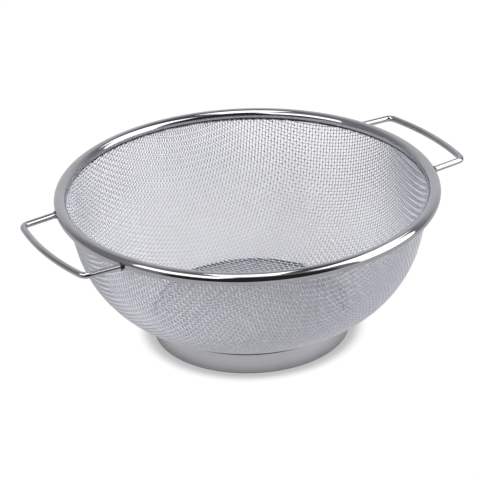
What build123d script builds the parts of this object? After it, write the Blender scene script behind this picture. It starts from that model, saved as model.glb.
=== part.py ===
from build123d import *
import math
import os

# Kitchen strainer: a woven wire bowl with a rolled rim, two bent-wire handles and a base ring.
# Millimetres, +Z up. The origin is the centre of the base ring's foot, the handles lie along +X and -X.

# Rolled rim
RIM_OUTER_RADIUS = 120.0
BEAD_RADIUS = 3.9
RIM_HEIGHT = 94.8            # height of the bead's centre above the table
STRIP_THICKNESS = 0.6
INNER_LIP_DEPTH = 1.8        # how far the strip's inner lip hangs below the bead's centre

# Woven bowl, drawn as a closed skin as thick as the cloth (two wires)
CLOTH_THICKNESS = 1.3
FLOOR_HEIGHT = 9.6           # height of the cloth at the middle of the floor
FLOOR_FLAT_RADIUS = 5.0      # the very middle is flat, then the floor curves up gently
WALL_CURVE_RADIUS = 69.14
WALL_CURVE_CENTRE = (40.14, 81.49)
WALL_LEAN = 77.5             # slope of the upper wall in degrees from level
WALL_TURN_HEIGHT = 91.6      # where the cloth turns upright to enter the rim

# Base ring
BASE_RADIUS = 62.3
BASE_FLANGE_WIDTH = 4.5
BASE_BEND_RADIUS = 1.0
FLANGE_CLEARANCE = 0.05      # between the flange and the cloth lying on it

# Handles
WIRE_DIAMETER = 4.0
HANDLE_HEIGHT = 93.8
LEG_SPREAD_AT_RIM = 41.3     # half the distance between the two legs at the rim
LEG_SPREAD_AT_BAR = 39.5     # and at the outer bar
LEG_END_X = 111.5
CORNER_X = 136.4
BAR_REACH = 140.8
CORNER_BEND_RADIUS = 5.0
WELD_RADIUS = 2.8

bead_centre_radius = RIM_OUTER_RADIUS - BEAD_RADIUS
lip_inner_radius = bead_centre_radius - BEAD_RADIUS
cloth_inner_radius = lip_inner_radius + STRIP_THICKNESS
cloth_outer_radius = cloth_inner_radius + CLOTH_THICKNESS


def on_circle(centre, radius, angle):
    """Point at an angle in degrees on a circle in the section plane."""
    a = math.radians(angle)
    return (centre[0] + radius * math.cos(a), centre[1] + radius * math.sin(a))


def turned(section):
    """Solid of revolution about the vertical axis from a section drawn in the XZ plane."""
    return revolve(section, Axis.Z)


def cloth_face(offset):
    """Points where the curves of the cloth's section meet, for a face offset from the middle."""
    wall_radius = WALL_CURVE_RADIUS + offset
    across = WALL_CURVE_CENTRE[0] - FLOOR_FLAT_RADIUS
    clearance = WALL_CURVE_CENTRE[1] - WALL_CURVE_RADIUS - FLOOR_HEIGHT
    drop = (across ** 2 - clearance ** 2) / (2 * clearance)
    floor_centre = (FLOOR_FLAT_RADIUS, WALL_CURVE_CENTRE[1] + drop)
    floor_radius = floor_centre[1] - FLOOR_HEIGHT + offset
    join_angle = math.degrees(math.atan2(-drop, across))
    start = (FLOOR_FLAT_RADIUS, FLOOR_HEIGHT - offset)
    floor_middle = on_circle(floor_centre, floor_radius, (join_angle - 90) / 2)
    join = on_circle(WALL_CURVE_CENTRE, wall_radius, join_angle)
    wall_end_angle = WALL_LEAN - 90
    wall_middle = on_circle(WALL_CURVE_CENTRE, wall_radius, (join_angle + wall_end_angle) / 2)
    wall_end = on_circle(WALL_CURVE_CENTRE, wall_radius, wall_end_angle)
    return start, floor_middle, join, wall_middle, wall_end


def make_bowl():
    """Woven bowl as one skin: shallow floor, round wall, straight upper wall, upright edge."""
    half = CLOTH_THICKNESS / 2
    outer = cloth_face(half)
    inner = cloth_face(-half)
    with BuildPart() as part:
        with BuildSketch(Plane.XZ):
            with BuildLine():
                Line((0, outer[0][1]), outer[0])
                ThreePointArc(outer[0], outer[1], outer[2])
                ThreePointArc(outer[2], outer[3], outer[4])
                Polyline(outer[4], (cloth_outer_radius, WALL_TURN_HEIGHT), (cloth_outer_radius, RIM_HEIGHT),
                         (cloth_inner_radius, RIM_HEIGHT), (cloth_inner_radius, WALL_TURN_HEIGHT), inner[4])
                ThreePointArc(inner[4], inner[3], inner[2])
                ThreePointArc(inner[2], inner[1], inner[0])
                Polyline(inner[0], (0, inner[0][1]), (0, outer[0][1]))
            make_face()
        revolve(axis=Axis.Z)
    return part.part


def make_rim():
    """Rolled strip: an inner lip, a round bead, and a lower edge pressed against the cloth."""
    centre = (bead_centre_radius, RIM_HEIGHT)
    inside_radius = BEAD_RADIUS - STRIP_THICKNESS
    reach = bead_centre_radius - cloth_outer_radius
    outer_end_angle = -180 + math.degrees(math.acos(reach / BEAD_RADIUS))
    inner_end_angle = -180 + math.degrees(math.acos(reach / inside_radius))
    lip_end = RIM_HEIGHT - INNER_LIP_DEPTH
    with BuildPart() as part:
        with BuildSketch(Plane.XZ):
            with BuildLine():
                Line((lip_inner_radius, lip_end), (lip_inner_radius, RIM_HEIGHT))
                ThreePointArc((lip_inner_radius, RIM_HEIGHT), on_circle(centre, BEAD_RADIUS, 30),
                              on_circle(centre, BEAD_RADIUS, outer_end_angle))
                Line(on_circle(centre, BEAD_RADIUS, outer_end_angle),
                     on_circle(centre, inside_radius, inner_end_angle))
                ThreePointArc(on_circle(centre, inside_radius, inner_end_angle),
                              on_circle(centre, inside_radius, 30), (cloth_inner_radius, RIM_HEIGHT))
                Line((cloth_inner_radius, RIM_HEIGHT), (cloth_inner_radius, lip_end))
                Line((cloth_inner_radius, lip_end), (lip_inner_radius, lip_end))
            make_face()
        revolve(axis=Axis.Z)
    return part.part


def make_base_ring():
    """Upright hoop whose top edge is turned inward as a flange lying under the cloth."""
    top_radius = WALL_CURVE_RADIUS + CLOTH_THICKNESS / 2 + FLANGE_CLEARANCE
    under_radius = top_radius + STRIP_THICKNESS

    def at_radius(curve_radius, x):
        across = x - WALL_CURVE_CENTRE[0]
        return (x, WALL_CURVE_CENTRE[1] - math.sqrt(curve_radius ** 2 - across ** 2))

    inside = BASE_RADIUS - STRIP_THICKNESS
    flange_edge = BASE_RADIUS - BASE_FLANGE_WIDTH
    with BuildPart() as part:
        with BuildSketch(Plane.XZ):
            with BuildLine():
                Polyline(at_radius(under_radius, inside), (inside, 0), (BASE_RADIUS, 0),
                         at_radius(top_radius, BASE_RADIUS))
                ThreePointArc(at_radius(top_radius, BASE_RADIUS),
                              at_radius(top_radius, (BASE_RADIUS + flange_edge) / 2),
                              at_radius(top_radius, flange_edge))
                Line(at_radius(top_radius, flange_edge), at_radius(under_radius, flange_edge))
                ThreePointArc(at_radius(under_radius, flange_edge),
                              at_radius(under_radius, (inside + flange_edge) / 2),
                              at_radius(under_radius, inside))
            make_face()
        revolve(axis=Axis.Z)
        shoulder = part.edges().filter_by(GeomType.CIRCLE).filter_by(
            lambda edge: abs(edge.radius - BASE_RADIUS) < 0.01 and edge.center().Z > 1)
        fillet(shoulder, BASE_BEND_RADIUS)
    return part.part


def rim_envelope():
    """The bead as a full round ring, used to shape whatever is welded against it."""
    section = Plane.XZ * Pos(bead_centre_radius, RIM_HEIGHT) * Circle(BEAD_RADIUS)
    return turned(section)


def handle_path(side):
    """Centreline of one handle: a leg, a corner, a gently bowed bar, a corner and a leg."""
    corner = side * CORNER_X
    end = side * LEG_END_X
    with BuildLine() as line:
        Line((end, LEG_SPREAD_AT_RIM), (corner, LEG_SPREAD_AT_BAR))
        ThreePointArc((corner, LEG_SPREAD_AT_BAR), (side * BAR_REACH, 0), (corner, -LEG_SPREAD_AT_BAR))
        Line((corner, -LEG_SPREAD_AT_BAR), (end, -LEG_SPREAD_AT_RIM))
        corners = line.vertices().filter_by(lambda v: abs(abs(v.X) - CORNER_X) < 0.01)
        fillet(corners, CORNER_BEND_RADIUS)
    return Pos(0, 0, HANDLE_HEIGHT) * line.wire()


def make_handle(side, envelope):
    """Round wire bent into a bow, its two ends cut to the shape of the rim."""
    path = handle_path(side)
    plane = Plane(origin=path @ 0, z_dir=path % 0)
    bar = sweep(plane * Circle(WIRE_DIAMETER / 2), path=path)
    return bar - envelope


def make_welds(handles, envelope):
    """Small bead of weld metal round each place where a handle leg meets the rim."""
    reach = math.sqrt(BEAD_RADIUS ** 2 - (RIM_HEIGHT - HANDLE_HEIGHT) ** 2) + bead_centre_radius
    x = math.sqrt(reach ** 2 - LEG_SPREAD_AT_RIM ** 2)
    beads = []
    for side, handle in handles:
        for across in (-1, 1):
            joint = Plane(origin=(side * x, across * LEG_SPREAD_AT_RIM, HANDLE_HEIGHT), z_dir=(side, 0, 0))
            bead = joint * Sphere(WELD_RADIUS) - envelope - handle
            beads.extend(bead.solids())
    return Compound(beads)


envelope = rim_envelope()
handle_left = make_handle(-1, envelope)
handle_right = make_handle(1, envelope)

nodes = {
    "mesh_bowl": make_bowl(),
    "rim_band": make_rim(),
    "base_ring": make_base_ring(),
    "handle_left": handle_left,
    "handle_right": handle_right,
    "handle_welds": make_welds([(-1, handle_left), (1, handle_right)], envelope),
}

os.makedirs("parts", exist_ok=True)
for name, shape in nodes.items():
    export_step(shape, "parts/" + name + ".step")
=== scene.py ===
import math

import bpy
import numpy as np
from mathutils import Matrix, Vector


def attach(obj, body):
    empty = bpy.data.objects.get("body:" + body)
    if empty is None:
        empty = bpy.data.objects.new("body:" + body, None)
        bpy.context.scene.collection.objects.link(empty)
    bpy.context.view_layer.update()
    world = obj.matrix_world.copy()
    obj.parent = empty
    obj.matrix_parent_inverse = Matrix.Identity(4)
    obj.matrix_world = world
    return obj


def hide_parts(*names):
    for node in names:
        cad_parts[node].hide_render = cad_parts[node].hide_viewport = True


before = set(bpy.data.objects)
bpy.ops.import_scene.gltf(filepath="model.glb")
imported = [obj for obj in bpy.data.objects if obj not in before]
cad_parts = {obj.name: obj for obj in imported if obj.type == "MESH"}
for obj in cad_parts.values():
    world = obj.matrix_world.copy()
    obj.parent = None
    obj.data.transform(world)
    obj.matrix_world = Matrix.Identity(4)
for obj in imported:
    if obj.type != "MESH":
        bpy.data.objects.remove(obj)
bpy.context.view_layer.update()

# Everything below is worked out in millimetres and made into metres when a mesh is built.
MM = 0.001

# Rolled rim
RIM_OUTER_RADIUS = 120.0
BEAD_RADIUS = 3.9
RIM_HEIGHT = 94.8            # height of the bead's centre
STRIP_THICKNESS = 0.6
INNER_LIP_DEPTH = 1.8
LIP_SHADE_STRIP_HEIGHT = 0.95       # painted shade: dark strip along the lip's lower edge, for the shadowed gap where it grips the cloth
RIM_SEGMENTS = 480
BEAD_CENTRE_RADIUS = RIM_OUTER_RADIUS - BEAD_RADIUS
LIP_INNER_RADIUS = BEAD_CENTRE_RADIUS - BEAD_RADIUS
CLOTH_INNER_RADIUS = LIP_INNER_RADIUS + STRIP_THICKNESS

# Woven bowl: section of the cloth's middle surface
CLOTH_THICKNESS = 1.3
CLOTH_EDGE_RADIUS = CLOTH_INNER_RADIUS + CLOTH_THICKNESS / 2
FLOOR_HEIGHT = 9.6
FLOOR_FLAT_RADIUS = 5.0
WALL_CURVE_RADIUS = 69.14
WALL_CURVE_CENTRE = (40.14, 81.49)
WALL_LEAN = 77.5
WALL_TURN_HEIGHT = 91.6
CLOTH_EDGE_HEIGHT = 94.3     # the wires end here, inside the rim
FLOOR_POINTS = 60

# Weave
MESH_PITCH = 2.17            # from wire to wire
MESH_WIRE_DIAMETER = 0.70
WEAVE_ANGLE = 35.5           # degrees between the first wire and the handles' axis
STEPS_PER_CROSSING = 3
WIRE_SIDES = 6
PIECES_EACH_WAY = 4
NET_STEPS = 25               # steps of the search for each crossing
NET_TOLERANCE = 0.02         # a crossing off by more than this part of the pitch is left out

# Base ring
BASE_RADIUS = 62.3
BASE_FLANGE_WIDTH = 4.5
BASE_BEND_RADIUS = 1.0
FLANGE_CLEARANCE = 0.05
FOOT_SHADE_STRIP_HEIGHT = 0.35      # painted shade: dark strip along the foot, for the table's contact shade
BEND_SHADE_STRIP_HEIGHT = 1.1       # painted shade: dark strip below the bend, for the shade where the cloth overhangs the hoop
FOOT_ROUNDING = 0.12
BASE_SEGMENTS = 360

# Handles
WIRE_DIAMETER = 4.0
HANDLE_HEIGHT = 93.8
LEG_SPREAD_AT_RIM = 41.3     # half the distance between the two legs at the rim
LEG_SPREAD_AT_BAR = 39.5     # and at the outer bar
CORNER_X = 136.4
BAR_REACH = 140.8
CORNER_BEND_RADIUS = 5.0
WELD_RADIUS = 2.8
WELD_MELT = 0.45             # how much smaller the visible bead is than the CAD's
HANDLE_SIDES = 28
BUTT_DEPTH = 0.15            # how far a leg's end sinks into the bead
WELD_RINGS = 16
WELD_SIDES = 28

# Camera, angles in degrees and lengths in metres; azimuths start at -Y and grow towards +X
CAMERA_AZIMUTH = -30.790
CAMERA_ELEVATION = 27.240
CAMERA_ROLL = -2.090
CAMERA_DISTANCE = 1.43775
CAMERA_LENS = 171.78
AIM_SIDEWAYS = -0.005557
AIM_HEIGHT = 0.06045

# Table and its shadows, in metres: patch sizes are half widths across and along the view
TABLE_REACH = (0.60, 0.45, 0.30, 1.20)   # left, right, front, back
TABLE_BRIGHTNESS = 1.02
TABLE_GLOW = 0.62            # brightness in reflections
CONTACT_SHADOW_REACH = 0.015
UNDER_SHADOW_SIZE = (0.066, 0.066)
UNDER_SHADOW_LEVEL = 0.35
UNDER_SHADOW_CORE = 0.72     # part of the patch that is evenly dark
CAST_SHADOW_PLACE = 0.130
CAST_SHADOW_SIZE = (0.125, 0.190)
CAST_SHADOW_LEVEL = 0.78
CAST_SHADOW_CORE = 0.35

# Brightness of the studio room, and how far away the softboxes stand
ROOM_WALL = 0.28
CEILING = 0.12
PALE_WALL = 0.75
DARK_WALL = 0.03
SOFTBOX_DISTANCE = 1.1
SOFTBOX_AIM_HEIGHT = 0.09


# ---------------------------------------------------------------- meshes

def mesh_object(name, points, quads, caps, material, replaces, sharp_angle=40):
    """Object from points in millimetres, quads and end polygons; rides the body and stands for a node."""
    loops = np.concatenate([np.asarray(quads, np.int32).ravel()]
                           + [np.asarray(cap, np.int32).ravel() for cap in caps])
    sizes = np.concatenate([np.full(len(quads), 4, np.int32)]
                           + [np.full(1, len(cap), np.int32) for cap in caps])
    starts = np.concatenate([[0], np.cumsum(sizes)[:-1]]).astype(np.int32)
    mesh = bpy.data.meshes.new(name)
    mesh.vertices.add(len(points))
    mesh.vertices.foreach_set("co", (np.asarray(points, np.float32) * MM).ravel())
    mesh.loops.add(len(loops))
    mesh.loops.foreach_set("vertex_index", loops)
    mesh.polygons.add(len(sizes))
    mesh.polygons.foreach_set("loop_start", starts)
    mesh.polygons.foreach_set("use_smooth", np.ones(len(sizes), bool))
    mesh.update(calc_edges=True)
    mesh.validate()
    if sharp_angle:
        mesh.set_sharp_from_angle(angle=math.radians(sharp_angle))
    mesh.materials.append(material)
    piece = bpy.data.objects.new(name, mesh)
    bpy.context.scene.collection.objects.link(piece)
    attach(piece, "root")
    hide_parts(*replaces)
    return piece


def grid_quads(rows, columns, first=0, wrap_rows=False):
    """Quads of a grid of points whose columns close round; the rows may close too."""
    row = np.arange(rows if wrap_rows else rows - 1)[:, None]
    column = np.arange(columns)[None, :]
    next_row = (row + 1) % rows
    next_column = (column + 1) % columns
    corners = [row * columns + column, row * columns + next_column,
               next_row * columns + next_column, next_row * columns + column]
    return first + np.stack(np.broadcast_arrays(*corners), -1).reshape(-1, 4)


def tube(path, sides, radius, normal):
    """Points of a round tube along a path, with a surface normal that keeps it from twisting."""
    along = np.gradient(path, axis=0)
    along /= np.linalg.norm(along, axis=1)[:, None]
    across = np.cross(along, normal)
    across /= np.linalg.norm(across, axis=1)[:, None]
    up = np.cross(across, along)
    angle = np.arange(sides) * 2 * np.pi / sides
    ring = (across[:, None, :] * np.cos(angle)[None, :, None] + up[:, None, :] * np.sin(angle)[None, :, None])
    return (path[:, None, :] + radius * ring).reshape(-1, 3)


def revolved(section, segments):
    """Points and quads of a closed section in (radius, height) turned about the vertical axis."""
    section = np.asarray(section, float)
    angle = np.arange(segments) * 2 * np.pi / segments
    points = np.stack([section[:, 0][None, :] * np.cos(angle)[:, None],
                       section[:, 0][None, :] * np.sin(angle)[:, None],
                       np.broadcast_to(section[:, 1][None, :], (segments, len(section)))], -1)
    return points.reshape(-1, 3), grid_quads(segments, len(section), wrap_rows=True)


def arc(centre, radius, start, end, count):
    """Points on an arc in the section plane, angles in degrees."""
    angle = np.radians(np.linspace(start, end, count))
    return np.stack([centre[0] + radius * np.cos(angle), centre[1] + radius * np.sin(angle)], -1)


# ---------------------------------------------------------------- materials

def new_material(name):
    material = bpy.data.materials.new(name)
    material.use_nodes = True
    return material, material.node_tree, material.node_tree.nodes["Principled BSDF"]


def add(tree, kind, **settings):
    made = tree.nodes.new(kind)
    for key, value in settings.items():
        setattr(made, key, value)
    return made


def math_node(tree, operation, first, second=None):
    """Math node whose inputs are sockets or plain numbers."""
    made = add(tree, "ShaderNodeMath", operation=operation)
    for socket, value in zip(made.inputs, (first, second)):
        if isinstance(value, bpy.types.NodeSocket):
            tree.links.new(value, socket)
        elif value is not None:
            socket.default_value = value
    return made.outputs[0]


def remap(tree, value, low, high, to_low, to_high):
    """Smooth remapping of a value from one range to another."""
    made = add(tree, "ShaderNodeMapRange", interpolation_type="SMOOTHSTEP")
    tree.links.new(value, made.inputs["Value"])
    for key, number in (("From Min", low), ("From Max", high), ("To Min", to_low), ("To Max", to_high)):
        made.inputs[key].default_value = number
    return made.outputs["Result"]


def noise(tree, vector, scale, detail=3.0, roughness=0.5):
    made = add(tree, "ShaderNodeTexNoise")
    made.inputs["Scale"].default_value = scale
    made.inputs["Detail"].default_value = detail
    made.inputs["Roughness"].default_value = roughness
    tree.links.new(vector, made.inputs["Vector"])
    return made.outputs["Fac"]


def object_coordinates(tree):
    return add(tree, "ShaderNodeTexCoord").outputs["Object"]


def hoop_coordinates(tree, round_scale, section_scale):
    """Coordinates stretched round the vertical axis, so that a noise becomes fine hoop lines."""
    split = add(tree, "ShaderNodeSeparateXYZ")
    tree.links.new(object_coordinates(tree), split.inputs[0])
    x, y, z = split.outputs
    angle = math_node(tree, "ARCTAN2", y, x)
    distance = math_node(tree, "SQRT", math_node(tree, "ADD", math_node(tree, "MULTIPLY", x, x),
                                                 math_node(tree, "MULTIPLY", y, y)))
    joined = add(tree, "ShaderNodeCombineXYZ")
    scaled = ((0, angle, round_scale), (1, distance, section_scale), (2, z, section_scale))
    for socket, value, scale in scaled:
        tree.links.new(math_node(tree, "MULTIPLY", value, scale), joined.inputs[socket])
    return joined.outputs[0]


def mix_colours(tree, factor, first, second):
    made = add(tree, "ShaderNodeMix", data_type="RGBA")
    tree.links.new(factor, made.inputs["Factor"])
    made.inputs["A"].default_value = (*first, 1)
    made.inputs["B"].default_value = (*second, 1)
    return made.outputs["Result"]


def bump(tree, height, strength, distance):
    made = add(tree, "ShaderNodeBump")
    made.inputs["Strength"].default_value = strength
    made.inputs["Distance"].default_value = distance
    tree.links.new(height, made.inputs["Height"])
    return made.outputs["Normal"]


def hooped_steel(name, dark, light, smooth, rough, line_depth):
    """Polished or brushed strip steel: hoop lines from rolling, faint smudges, and a little unevenness."""
    material, tree, shader = new_material(name)
    shader.inputs["Metallic"].default_value = 1.0
    lines = noise(tree, hoop_coordinates(tree, 1.2, 2600), 1.0, detail=4.0, roughness=0.6)
    smudges = noise(tree, object_coordinates(tree), 50, detail=4.0, roughness=0.55)
    blend = math_node(tree, "ADD", math_node(tree, "MULTIPLY", lines, 0.6),
                      math_node(tree, "MULTIPLY", smudges, 0.4))
    tree.links.new(mix_colours(tree, remap(tree, blend, 0.35, 0.65, 0, 1), dark, light),
                   shader.inputs["Base Color"])
    tree.links.new(remap(tree, blend, 0.35, 0.65, smooth, rough), shader.inputs["Roughness"])
    tree.links.new(bump(tree, lines, line_depth, 0.00004), shader.inputs["Normal"])
    return material


def drawn_wire_steel(name, dark, light, smooth, rough):
    """Bright drawn wire: soft smudges and a very faint grain."""
    material, tree, shader = new_material(name)
    shader.inputs["Metallic"].default_value = 1.0
    smudges = noise(tree, object_coordinates(tree), 60, detail=4.0, roughness=0.6)
    grain = noise(tree, object_coordinates(tree), 900, detail=2.0)
    blend = math_node(tree, "ADD", math_node(tree, "MULTIPLY", smudges, 0.94),
                      math_node(tree, "MULTIPLY", grain, 0.06))
    tree.links.new(mix_colours(tree, remap(tree, blend, 0.35, 0.65, 0, 1), dark, light),
                   shader.inputs["Base Color"])
    tree.links.new(remap(tree, blend, 0.35, 0.65, smooth, rough), shader.inputs["Roughness"])
    return material


def weld_steel(name):
    """Spot weld metal with pits; its own dark tone is painted nearly black as shade in the crevices round the
    joint.
    """
    material, tree, shader = new_material(name)
    shader.inputs["Metallic"].default_value = 1.0
    tint = noise(tree, object_coordinates(tree), 420, detail=3.0)
    pits = noise(tree, object_coordinates(tree), 1500, detail=3.0)
    tree.links.new(mix_colours(tree, remap(tree, tint, 0.35, 0.65, 0, 1), (0.05, 0.05, 0.055),
                               (0.16, 0.155, 0.15)), shader.inputs["Base Color"])
    tree.links.new(remap(tree, pits, 0.3, 0.7, 0.35, 0.6), shader.inputs["Roughness"])
    tree.links.new(bump(tree, pits, 0.4, 0.0001), shader.inputs["Normal"])
    return material


def mesh_wire_steel(name, colour, roughness):
    """Fine bright wire of the cloth in one plain colour; its pattern is the woven shape itself, and warp and
    weft get shaded and lit copies as painted light and shade.
    """
    material, tree, shader = new_material(name)
    shader.inputs["Metallic"].default_value = 1.0
    shader.inputs["Base Color"].default_value = (*colour, 1)
    shader.inputs["Roughness"].default_value = roughness
    return material


# ---------------------------------------------------------------- woven bowl

def cloth_section():
    """Section of the cloth's middle surface as points by distance along it from the centre."""
    across = WALL_CURVE_CENTRE[0] - FLOOR_FLAT_RADIUS
    clearance = WALL_CURVE_CENTRE[1] - WALL_CURVE_RADIUS - FLOOR_HEIGHT
    drop = (across ** 2 - clearance ** 2) / (2 * clearance)
    floor_centre = (FLOOR_FLAT_RADIUS, WALL_CURVE_CENTRE[1] + drop)
    join_angle = math.degrees(math.atan2(-drop, across))
    floor = arc(floor_centre, floor_centre[1] - FLOOR_HEIGHT, -90, join_angle, FLOOR_POINTS)
    wall = arc(WALL_CURVE_CENTRE, WALL_CURVE_RADIUS, join_angle, WALL_LEAN - 90, 200)
    lean_end = np.array([CLOTH_EDGE_RADIUS, WALL_TURN_HEIGHT])
    spare_top = lean_end + [0, 4 * MESH_PITCH]
    part = np.linspace(0, 1, 60)[1:, None]
    section = np.concatenate([[(0, FLOOR_HEIGHT)], floor, wall[1:],
                              wall[-1] + (lean_end - wall[-1]) * part,
                              lean_end + (spare_top - lean_end) * part])
    distance = np.concatenate([[0], np.cumsum(np.hypot(*np.diff(section, axis=0).T))])
    return distance, section


SECTION_DISTANCE, SECTION = cloth_section()
SECTION_SLOPE = np.gradient(SECTION, SECTION_DISTANCE, axis=0)


def section_point(distance):
    return (np.interp(distance, SECTION_DISTANCE, SECTION[:, 0]),
            np.interp(distance, SECTION_DISTANCE, SECTION[:, 1]))


def on_bowl(distance, angle):
    """Point of the middle surface from the distance along the section and the angle round the axis."""
    radius, height = section_point(distance)
    return np.stack([radius * np.cos(angle), radius * np.sin(angle), height], -1)


def inward_normal(distance, angle):
    """Unit normal of the bowl's surface, pointing into the bowl."""
    slope_r = np.interp(distance, SECTION_DISTANCE, SECTION_SLOPE[:, 0])
    slope_z = np.interp(distance, SECTION_DISTANCE, SECTION_SLOPE[:, 1])
    length = np.hypot(slope_r, slope_z)
    return np.stack([-slope_z * np.cos(angle), -slope_z * np.sin(angle), slope_r], -1) / length[..., None]


def weave_quadrant(count):
    """Crossings of the cloth draped in the bowl: a net of equal steps, one quarter of it.

    Cloth pressed into a bowl keeps its wires' lengths and only shears, so each new crossing is one
    pitch from its two neighbours. Two wires run straight up the wall, and the rest follow from them.
    """
    distance = np.full((count, count), np.nan)
    angle = np.full((count, count), np.nan)
    steps = np.arange(count) * MESH_PITCH
    distance[:, 0] = steps
    angle[:, 0] = 0
    distance[0, :] = steps
    angle[0, :] = np.pi / 2
    limit = SECTION_DISTANCE[-1] - 0.5
    nudge = 1e-3
    for diagonal in range(2, 2 * count - 1):
        i = np.arange(max(1, diagonal - count + 1), min(count - 1, diagonal - 1) + 1)
        j = diagonal - i
        known = (distance[i - 1, j] < limit) & (distance[i, j - 1] < limit)
        i = i[known]
        j = j[known]
        if not len(i):
            break
        left = on_bowl(distance[i - 1, j], angle[i - 1, j])
        below = on_bowl(distance[i, j - 1], angle[i, j - 1])
        guess = left + below - on_bowl(distance[i - 1, j - 1], angle[i - 1, j - 1])
        turn = np.arctan2(guess[:, 1], guess[:, 0])
        reach = np.hypot(guess[:, 0], guess[:, 1])
        miss = (reach[:, None] - SECTION[None, :, 0]) ** 2 + (guess[:, 2:] - SECTION[None, :, 1]) ** 2
        along = SECTION_DISTANCE[miss.argmin(1)]
        for _ in range(NET_STEPS):
            here = on_bowl(along, turn)
            by_along = (on_bowl(along + nudge, turn) - on_bowl(along - nudge, turn)) / (2 * nudge)
            radius = section_point(along)[0]
            by_turn = np.stack([-radius * np.sin(turn), radius * np.cos(turn), 0 * turn], -1)
            to_left = here - left
            to_below = here - below
            off_left = (to_left ** 2).sum(1) - MESH_PITCH ** 2
            off_below = (to_below ** 2).sum(1) - MESH_PITCH ** 2
            a = 2 * (to_left * by_along).sum(1)
            b = 2 * (to_left * by_turn).sum(1)
            c = 2 * (to_below * by_along).sum(1)
            d = 2 * (to_below * by_turn).sum(1)
            determinant = a * d - b * c
            determinant = np.where(np.abs(determinant) < 1e-9, 1e-9, determinant)
            move_along = -(d * off_left - b * off_below) / determinant
            move_turn = -(a * off_below - c * off_left) / determinant
            too_far = np.clip(np.hypot(move_along, move_turn * radius) / (0.5 * MESH_PITCH), 1, None)
            along = np.clip(along + move_along / too_far, 0, SECTION_DISTANCE[-1])
            turn = turn + move_turn / too_far
        here = on_bowl(along, turn)
        error = (np.abs(np.linalg.norm(here - left, axis=1) - MESH_PITCH)
                 + np.abs(np.linalg.norm(here - below, axis=1) - MESH_PITCH))
        good = error < NET_TOLERANCE * MESH_PITCH
        distance[i[good], j[good]] = along[good]
        angle[i[good], j[good]] = turn[good]
    return distance, angle


def whole_weave():
    """Crossings of the whole cloth as a square table, indexed by warp and weft number."""
    edge = float(np.interp(CLOTH_EDGE_HEIGHT, SECTION[FLOOR_POINTS:, 1], SECTION_DISTANCE[FLOOR_POINTS:]))
    count = int(SECTION_DISTANCE[-1] / MESH_PITCH) + 1
    distance, angle = weave_quadrant(count)
    size = 2 * count - 1
    middle = count - 1
    all_distance = np.full((size, size), np.nan)
    all_angle = np.full((size, size), np.nan)
    i, j = np.meshgrid(np.arange(count), np.arange(count), indexing="ij")
    for quarter in range(4):
        warp, weft = ((i, j), (-j, i), (-i, -j), (j, -i))[quarter]
        all_distance[middle + warp, middle + weft] = distance
        all_angle[middle + warp, middle + weft] = angle + quarter * math.pi / 2
    return all_distance, all_angle + math.radians(WEAVE_ANGLE), edge


def wire_path(distance, angle, edge, phase):
    """Centreline of one wire from its crossings: it rises and dips over the others and ends in the rim."""
    inside = np.flatnonzero(distance < edge)
    if len(inside) < 2:
        return None
    first, last = inside[0], inside[-1]
    if first == 0 or last == len(distance) - 1:
        return None
    if not np.isfinite(distance[[first - 1, last + 1]]).all():
        return None
    kept = slice(first - 1, last + 2)
    nodes = on_bowl(distance[kept], angle[kept])
    normals = inward_normal(distance[kept], angle[kept])
    start = 1 - (edge - distance[first]) / (distance[first - 1] - distance[first])
    end = len(nodes) - 2 + (edge - distance[last]) / (distance[last + 1] - distance[last])
    step = 1 / STEPS_PER_CROSSING
    inner = np.arange(math.ceil(start / step + 0.3), math.floor(end / step - 0.3) + 1) * step
    where = np.concatenate([[start], inner, [end]])
    index = np.arange(len(nodes))
    path = np.stack([np.interp(where, index, nodes[:, k]) for k in range(3)], -1)
    normal = np.stack([np.interp(where, index, normals[:, k]) for k in range(3)], -1)
    normal /= np.linalg.norm(normal, axis=1)[:, None]
    wave = np.cos(math.pi * (where + first - 1 + phase))
    return path + normal * (wave * MESH_WIRE_DIAMETER / 2)[:, None], normal


def weave_bowl(warp_shaded_copy_material, weft_lit_copy_material):
    """All wires of the cloth, in a few pieces of neighbouring wires each way."""
    distance, angle, edge = whole_weave()
    size = len(distance)
    families = (("warp", distance, angle, 0, warp_shaded_copy_material), ("weft", distance.T, angle.T, 1, weft_lit_copy_material))
    for direction, rows, turns, shift, material in families:
        wires = []
        for number in range(size):
            made = wire_path(rows[:, number], turns[:, number], edge, number + shift)
            if made is not None:
                wires.append(made)
        total = sum(len(path) for path, _ in wires)
        group = 0
        gathered = []
        done = 0
        for path, normal in wires:
            gathered.append((path, normal))
            done += len(path)
            if done >= total * (group + 1) / PIECES_EACH_WAY - 1e-6:
                make_wire_piece("mesh_%s_%d" % (direction, group + 1), gathered, material)
                gathered = []
                group += 1


def make_wire_piece(name, wires, material):
    points = []
    quads = []
    caps = []
    first = 0
    for path, normal in wires:
        points.append(tube(path, WIRE_SIDES, MESH_WIRE_DIAMETER / 2, normal))
        quads.append(grid_quads(len(path), WIRE_SIDES, first))
        last_ring = first + (len(path) - 1) * WIRE_SIDES
        caps.append(np.arange(first + WIRE_SIDES - 1, first - 1, -1))
        caps.append(np.arange(last_ring, last_ring + WIRE_SIDES))
        first += len(path) * WIRE_SIDES
    mesh_object(name, np.concatenate(points), np.concatenate(quads), caps, material,
                ["mesh_bowl"], sharp_angle=None)


# ---------------------------------------------------------------- rim

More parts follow.
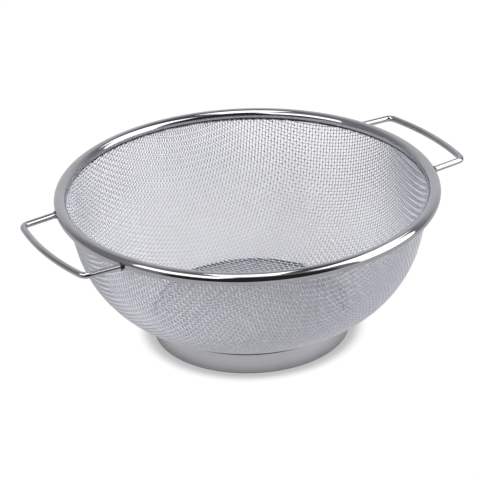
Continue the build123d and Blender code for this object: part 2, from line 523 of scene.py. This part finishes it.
def rim_section():
    """Closed section of the rolled strip, and which of its faces carry painted shade: the lip's lower edge
    and the inside of the roll.
    """
    centre = (BEAD_CENTRE_RADIUS, RIM_HEIGHT)
    inside_radius = BEAD_RADIUS - STRIP_THICKNESS
    reach = BEAD_CENTRE_RADIUS - CLOTH_INNER_RADIUS - CLOTH_THICKNESS
    outer_end = -180 + math.degrees(math.acos(reach / BEAD_RADIUS))
    inner_end = -180 + math.degrees(math.acos(reach / inside_radius))
    lip_end = RIM_HEIGHT - INNER_LIP_DEPTH
    lip_middle = (LIP_INNER_RADIUS + STRIP_THICKNESS / 2, lip_end + STRIP_THICKNESS / 2)
    rolled = arc(centre, BEAD_RADIUS, 180, outer_end, 72)
    lip_edge = arc(lip_middle, STRIP_THICKNESS / 2, 360, 180, 9)
    back = arc(centre, inside_radius, inner_end, 180, 36)
    edge_top = [[LIP_INNER_RADIUS, lip_end + LIP_SHADE_STRIP_HEIGHT]]
    section = np.concatenate([lip_edge, edge_top, rolled, back])
    place = np.arange(len(section))
    # Painted shade on the lip's lower edge and the inside of the roll.
    painted_shade_faces = (place < len(lip_edge)) | (place >= len(lip_edge) + len(rolled))
    return section, painted_shade_faces


def make_rim(material, roll_shade_material):
    """The rolled strip; the lip's lower edge and the inside of the roll get painted shade, a near-black
    material for the shadowed gap under the lip.
    """
    section, painted_shade_faces = rim_section()
    points, quads = revolved(section, RIM_SEGMENTS)
    piece = mesh_object("rim_rolled", points, quads, [], material, ["rim_band"], sharp_angle=50)
    piece.data.materials.append(roll_shade_material)
    piece.data.polygons.foreach_set("material_index", np.tile(painted_shade_faces.astype(np.int32), RIM_SEGMENTS))


# ---------------------------------------------------------------- base ring

def make_base(material, base_shade_material):
    """Upright hoop with a rounded shoulder and an inward flange that follows the bowl; painted shade darkens
    the foot, a strip below the bend, the shoulder and most of the flange's top.
    """
    top_radius = WALL_CURVE_RADIUS + CLOTH_THICKNESS / 2 + FLANGE_CLEARANCE
    under_radius = top_radius + STRIP_THICKNESS
    inside = BASE_RADIUS - STRIP_THICKNESS

    def on_curve(radius, x):
        return WALL_CURVE_CENTRE[1] - math.sqrt(radius ** 2 - (x - WALL_CURVE_CENTRE[0]) ** 2)

    flange_edge = BASE_RADIUS - BASE_FLANGE_WIDTH
    bend = BASE_BEND_RADIUS
    shoulder_x = BASE_RADIUS - bend
    slope = math.degrees(math.asin((shoulder_x - WALL_CURVE_CENTRE[0]) / (top_radius + bend)))
    shoulder_z = WALL_CURVE_CENTRE[1] - math.sqrt((top_radius + bend) ** 2
                                                  - (shoulder_x - WALL_CURVE_CENTRE[0]) ** 2)
    outside = arc((BASE_RADIUS - FOOT_ROUNDING, FOOT_ROUNDING), FOOT_ROUNDING, -90, 0, 5)
    shoulder = arc((shoulder_x, shoulder_z), bend, 0, 90 + slope, 14)
    flange_x = np.linspace(shoulder[-1][0], flange_edge, 10)[1:]
    over = np.stack([flange_x, [on_curve(top_radius, x) for x in flange_x]], -1)
    under_x = np.linspace(flange_edge, inside, 10)
    under = np.stack([under_x, [on_curve(under_radius, x) for x in under_x]], -1)
    foot = arc((inside + FOOT_ROUNDING, FOOT_ROUNDING), FOOT_ROUNDING, 180, 270, 5)
    face_ends = [[BASE_RADIUS, FOOT_SHADE_STRIP_HEIGHT], [BASE_RADIUS, shoulder_z - BEND_SHADE_STRIP_HEIGHT]]
    section = np.concatenate([outside, face_ends, shoulder, over, under, foot])
    place = np.arange(len(section))
    # Painted shade on the foot, the strip below the bend, the shoulder and most of the flange's top.
    painted_shade_faces = (place != len(outside)) & (place < len(outside) + len(shoulder) + len(over))
    points, quads = revolved(section, BASE_SEGMENTS)
    piece = mesh_object("base_hoop", points, quads, [], material, ["base_ring"], sharp_angle=45)
    piece.data.materials.append(base_shade_material)
    piece.data.polygons.foreach_set("material_index", np.tile(painted_shade_faces.astype(np.int32), BASE_SEGMENTS))


# ---------------------------------------------------------------- handles

def rounded_corner(before, corner, after, radius, count):
    """Arc that rounds a corner of the handle between two directions."""
    into = (corner - before) / np.linalg.norm(corner - before)
    out = (after - corner) / np.linalg.norm(after - corner)
    turn = math.acos(float(np.clip(into @ out, -1, 1)))
    back = radius * math.tan(turn / 2)
    start = corner - into * back
    side = out - into * float(into @ out)
    side /= np.linalg.norm(side)
    centre = start + side * radius
    angle = np.linspace(0, turn, count)
    return centre - side * radius * np.cos(angle)[:, None] + into * radius * np.sin(angle)[:, None]


def handle_path(side):
    """Centreline of a handle in plan: leg, corner, bowed bar, corner, leg."""
    sag = BAR_REACH - CORNER_X
    bow_radius = (LEG_SPREAD_AT_BAR ** 2 + sag ** 2) / (2 * sag)
    bow_centre = BAR_REACH - bow_radius
    half_angle = math.degrees(math.asin(LEG_SPREAD_AT_BAR / bow_radius))
    bow = arc((bow_centre, 0), bow_radius, -half_angle, half_angle, 61)
    corners = [np.array([CORNER_X, -LEG_SPREAD_AT_BAR]), np.array([CORNER_X, LEG_SPREAD_AT_BAR])]
    rim_reach = BEAD_CENTRE_RADIUS + math.sqrt(BEAD_RADIUS ** 2 - (RIM_HEIGHT - HANDLE_HEIGHT) ** 2)
    leg_x = math.sqrt(rim_reach ** 2 - LEG_SPREAD_AT_RIM ** 2)
    starts = [np.array([leg_x, -LEG_SPREAD_AT_RIM]), np.array([leg_x, LEG_SPREAD_AT_RIM])]
    low = rounded_corner(starts[0], corners[0], bow[6], CORNER_BEND_RADIUS, 14)
    high = rounded_corner(bow[-7], corners[1], starts[1], CORNER_BEND_RADIUS, 14)
    part = np.linspace(0, 1, 12)[:, None]
    leg_in = starts[0] + (low[0] - starts[0]) * part
    leg_out = high[-1] + (starts[1] - high[-1]) * part
    keep = np.abs(bow[:, 1]) < -low[-1][1] - 1.0
    path = np.concatenate([leg_in[:-1], low, bow[keep], high, leg_out[1:]])
    path[:, 0] *= side
    return np.column_stack([path, np.full(len(path), HANDLE_HEIGHT)])


def make_handle(name, side, material, node):
    path = handle_path(side)
    sides = HANDLE_SIDES
    up = np.broadcast_to([0.0, 0.0, 1.0], path.shape)
    points = tube(path, sides, WIRE_DIAMETER / 2, up)
    for ring, direction in ((slice(0, sides), path[0] - path[1]), (slice(-sides, None), path[-1] - path[-2])):
        points[ring] = butted(points[ring], direction / np.linalg.norm(direction))
    quads = grid_quads(len(path), sides)
    last = (len(path) - 1) * sides
    caps = [np.arange(sides - 1, -1, -1), np.arange(last, last + sides)]
    mesh_object(name, points, quads, caps, material, [node], sharp_angle=50)


def butted(points, direction):
    """Slide the end of a leg along its own direction until every point meets the bead."""
    moved = points.copy()
    for k, point in enumerate(points):
        low, high = -6.0, 6.0
        for _ in range(40):
            middle = (low + high) / 2
            trial = point + direction * middle
            across = math.hypot(trial[0], trial[1]) - BEAD_CENTRE_RADIUS
            if math.hypot(across, trial[2] - RIM_HEIGHT) > BEAD_RADIUS - BUTT_DEPTH:
                low = middle
            else:
                high = middle
        moved[k] = point + direction * low
    return moved


def make_welds(material):
    """Four small, slightly lumpy beads of weld metal round the legs where they meet the rim."""
    rings, sides = WELD_RINGS, WELD_SIDES
    points = []
    quads = []
    caps = []
    first = 0
    reach = BEAD_CENTRE_RADIUS + math.sqrt(BEAD_RADIUS ** 2 - (RIM_HEIGHT - HANDLE_HEIGHT) ** 2)
    x = math.sqrt(reach ** 2 - LEG_SPREAD_AT_RIM ** 2)
    for side in (-1, 1):
        for across in (-1, 1):
            centre = np.array([side * x, across * LEG_SPREAD_AT_RIM, HANDLE_HEIGHT])
            polar = np.linspace(0, math.pi, rings + 2)[1:-1]
            turn = np.arange(sides) * 2 * math.pi / sides
            ball = np.stack([np.outer(np.cos(polar), np.ones(sides)),
                             np.outer(np.sin(polar), np.cos(turn)),
                             np.outer(np.sin(polar), np.sin(turn))], -1).reshape(-1, 3)
            lumps = (0.10 * np.sin(6 * ball[:, 1] + side) + 0.08 * np.sin(7 * ball[:, 2] + across)
                     + 0.06 * np.sin(9 * ball[:, 0] + side * across))
            radius = (WELD_RADIUS - WELD_MELT) * (1 + 0.3 * lumps)
            stretched = ball * radius[:, None] * np.array([0.9, 1.0, 1.0])
            points.append(centre + stretched)
            quads.append(grid_quads(rings, sides, first))
            last = first + (rings - 1) * sides
            caps.append(np.arange(first + sides - 1, first - 1, -1))
            caps.append(np.arange(last, last + sides))
            first += rings * sides
    mesh_object("weld_beads", np.concatenate(points), np.concatenate(quads), caps, material,
                ["handle_welds"], sharp_angle=None)


# ---------------------------------------------------------------- camera, floor and light

def direction(azimuth, elevation):
    """Unit vector towards a place on the sky, azimuth in degrees from -Y towards +X."""
    a = math.radians(azimuth)
    e = math.radians(elevation)
    return Vector((math.sin(a) * math.cos(e), -math.cos(a) * math.cos(e), math.sin(e)))


def make_camera():
    back = direction(CAMERA_AZIMUTH, CAMERA_ELEVATION)
    level = Vector((0, 0, 1)).cross(back).normalized()
    over = back.cross(level)
    roll = math.radians(CAMERA_ROLL)
    right = level * math.cos(roll) + over * math.sin(roll)
    up = back.cross(right)
    aim = level * AIM_SIDEWAYS + Vector((0, 0, AIM_HEIGHT))
    place = aim + back * CAMERA_DISTANCE
    data = bpy.data.cameras.new("camera")
    data.lens = CAMERA_LENS
    data.sensor_width = 36.0
    data.clip_end = 50
    camera = bpy.data.objects.new("camera", data)
    camera.matrix_world = Matrix(((right.x, up.x, back.x, place.x), (right.y, up.y, back.y, place.y),
                                  (right.z, up.z, back.z, place.z), (0, 0, 0, 1)))
    bpy.context.scene.collection.objects.link(camera)
    bpy.context.scene.camera = camera


def soft_patch(tree, place, size, level, core):
    """Table brightness with one oval patch of soft shade, centred a given distance behind the middle."""
    turned = add(tree, "ShaderNodeMapping", vector_type="TEXTURE")
    tree.links.new(object_coordinates(tree), turned.inputs["Vector"])
    turned.inputs["Location"].default_value = -direction(CAMERA_AZIMUTH, 0) * place
    turned.inputs["Rotation"].default_value = (0, 0, math.radians(CAMERA_AZIMUTH))
    turned.inputs["Scale"].default_value = (*size, 1)
    distance = add(tree, "ShaderNodeVectorMath", operation="LENGTH")
    tree.links.new(turned.outputs["Vector"], distance.inputs[0])
    return remap(tree, distance.outputs["Value"], core, 1.0, level, TABLE_BRIGHTNESS)


def make_table():
    """Pure white table top with a contact shadow, shade in the base ring and a soft cast shadow."""
    left, right, front, back = TABLE_REACH
    level = Vector((0, 0, 1)).cross(direction(CAMERA_AZIMUTH, 0))
    away = -direction(CAMERA_AZIMUTH, 0)
    outline = ((-left, -front), (right, -front), (right, back), (-left, back))
    corners = [level * x + away * y for x, y in outline]
    mesh = bpy.data.meshes.new("table")
    mesh.from_pydata([tuple(corner) for corner in corners], [], [(0, 1, 2, 3)])
    material = bpy.data.materials.new("table_white")
    material.use_nodes = True
    tree = material.node_tree
    tree.nodes.clear()
    contact = add(tree, "ShaderNodeAmbientOcclusion", samples=16)
    contact.inputs["Distance"].default_value = CONTACT_SHADOW_REACH
    shade = remap(tree, contact.outputs["AO"], 0.60, 0.97, 0.51, TABLE_BRIGHTNESS)
    shade = math_node(tree, "MINIMUM", shade, soft_patch(tree, 0, UNDER_SHADOW_SIZE, UNDER_SHADOW_LEVEL,
                                                         UNDER_SHADOW_CORE))
    shade = math_node(tree, "MINIMUM", shade, soft_patch(tree, CAST_SHADOW_PLACE, CAST_SHADOW_SIZE,
                                                         CAST_SHADOW_LEVEL, CAST_SHADOW_CORE))
    seen = add(tree, "ShaderNodeLightPath").outputs["Is Camera Ray"]
    glow = add(tree, "ShaderNodeEmission")
    strength = math_node(tree, "MULTIPLY", shade, remap(tree, seen, 0, 1, TABLE_GLOW, 1))
    tree.links.new(strength, glow.inputs["Strength"])
    from_below = add(tree, "ShaderNodeMixShader")
    tree.links.new(add(tree, "ShaderNodeNewGeometry").outputs["Backfacing"], from_below.inputs[0])
    tree.links.new(glow.outputs[0], from_below.inputs[1])
    tree.links.new(add(tree, "ShaderNodeBsdfTransparent").outputs[0], from_below.inputs[2])
    output = add(tree, "ShaderNodeOutputMaterial")
    tree.links.new(from_below.outputs[0], output.inputs["Surface"])
    mesh.materials.append(material)
    table = bpy.data.objects.new("table", mesh)
    bpy.context.scene.collection.objects.link(table)


def facing(tree, sky, towards, low, high):
    """How far the sky direction faces a given direction, from 0 at low degrees off it to 1 at high."""
    dot = add(tree, "ShaderNodeVectorMath", operation="DOT_PRODUCT")
    tree.links.new(sky, dot.inputs[0])
    dot.inputs[1].default_value = towards
    return remap(tree, dot.outputs["Value"], math.cos(math.radians(low)), math.cos(math.radians(high)), 0, 1)


def make_room():
    """Dim studio room: paler behind the object, darker high on the right, nearly black behind the camera."""
    world = bpy.data.worlds.new("studio")
    bpy.context.scene.world = world
    world.use_nodes = True
    tree = world.node_tree
    tree.nodes.clear()
    sky = add(tree, "ShaderNodeTexCoord").outputs["Generated"]
    pale = facing(tree, sky, direction(CAMERA_AZIMUTH + 180, 5), 72, 16)
    above = facing(tree, sky, direction(CAMERA_AZIMUTH + 110, 66), 46, 24)
    dark = facing(tree, sky, direction(CAMERA_AZIMUTH, 0), 55, 45)
    level = math_node(tree, "ADD", math_node(tree, "MULTIPLY", pale, PALE_WALL - ROOM_WALL), ROOM_WALL)
    level = math_node(tree, "ADD", math_node(tree, "MULTIPLY", dark, DARK_WALL - ROOM_WALL), level)
    level = math_node(tree, "ADD", math_node(tree, "MULTIPLY", above, CEILING - ROOM_WALL), level)
    level = math_node(tree, "MAXIMUM", level, DARK_WALL)
    lit = add(tree, "ShaderNodeBackground")
    lit.inputs["Color"].default_value = (0.97, 0.98, 1.0, 1)
    tree.links.new(level, lit.inputs["Strength"])
    plain = add(tree, "ShaderNodeBackground")
    plain.inputs["Strength"].default_value = 1.0
    plain.inputs["Color"].default_value = (1, 1, 1, 1)
    camera_ray = add(tree, "ShaderNodeLightPath").outputs["Is Camera Ray"]
    mix = add(tree, "ShaderNodeMixShader")
    tree.links.new(camera_ray, mix.inputs[0])
    tree.links.new(lit.outputs[0], mix.inputs[1])
    tree.links.new(plain.outputs[0], mix.inputs[2])
    output = add(tree, "ShaderNodeOutputWorld")
    tree.links.new(mix.outputs[0], output.inputs[0])


def make_softbox(name, azimuth, elevation, width, height, brightness):
    """Rectangular softbox facing the object, its size given as the angles it fills."""
    towards = direction(CAMERA_AZIMUTH + azimuth, elevation)
    data = bpy.data.lights.new(name, "AREA")
    data.shape = "RECTANGLE"
    data.size = 2 * SOFTBOX_DISTANCE * math.tan(math.radians(width / 2))
    data.size_y = 2 * SOFTBOX_DISTANCE * math.tan(math.radians(height / 2))
    data.energy = brightness * math.pi * data.size * data.size_y
    light = bpy.data.objects.new(name, data)
    light.location = Vector((0, 0, SOFTBOX_AIM_HEIGHT)) + towards * SOFTBOX_DISTANCE
    light.rotation_euler = towards.to_track_quat("Z", "Y").to_euler()
    bpy.context.scene.collection.objects.link(light)


# ---------------------------------------------------------------- the strainer

rim_material = hooped_steel("rim_polished_steel", (0.48, 0.48, 0.50), (0.54, 0.54, 0.565), 0.04, 0.10, 0.06)
base_material = hooped_steel("base_satin_steel", (0.60, 0.60, 0.635), (0.68, 0.68, 0.715), 0.28, 0.40, 0.25)
handle_material = drawn_wire_steel("handle_bright_steel", (0.48, 0.48, 0.50), (0.55, 0.55, 0.57), 0.08, 0.18)
# Weld metal with pits, painted nearly black as crevice shade round the joint.
weld_painted_shade_material = weld_steel("weld_metal_painted_shade")
# Painted shade: near-black steel for the inside of the roll and the lip's lower edge, dark as the shadowed
# gap between lip and cloth.
roll_painted_shade_material = hooped_steel("roll_inside_painted_shade_steel", (0.05, 0.05, 0.055), (0.10, 0.10, 0.105),
                             0.45, 0.60, 0.10)
# Painted shade: dark steel for the base's foot, the strip below the bend, the shoulder and the flange's top.
base_painted_shade_material = hooped_steel("base_painted_shade_steel", (0.15, 0.15, 0.16), (0.21, 0.21, 0.22), 0.45, 0.60, 0.10)
# Painted light and shade: warp and weft are shaded and lit copies of one wire steel, the warp darker and the
# weft brighter.
warp_shaded_copy_material = mesh_wire_steel("mesh_warp_wire", (0.65, 0.65, 0.705), 0.28)
weft_lit_copy_material = mesh_wire_steel("mesh_weft_wire", (0.93, 0.93, 0.99), 0.28)

make_camera()
make_table()
make_room()
make_softbox("softbox_overhead", 0, 79, 24, 44, 2.4)
make_softbox("softbox_left", -44, 42, 46, 28, 2.4)
make_softbox("softbox_right", 81, 21, 44, 58, 2.0)
make_softbox("softbox_right_high", 86, 52, 60, 16, 2.2)
weave_bowl(warp_shaded_copy_material, weft_lit_copy_material)
make_rim(rim_material, roll_painted_shade_material)
make_base(base_material, base_painted_shade_material)
make_handle("handle_wire_left", -1, handle_material, "handle_left")
make_handle("handle_wire_right", 1, handle_material, "handle_right")
make_welds(weld_painted_shade_material)

bpy.context.scene.view_settings.view_transform = "Standard"
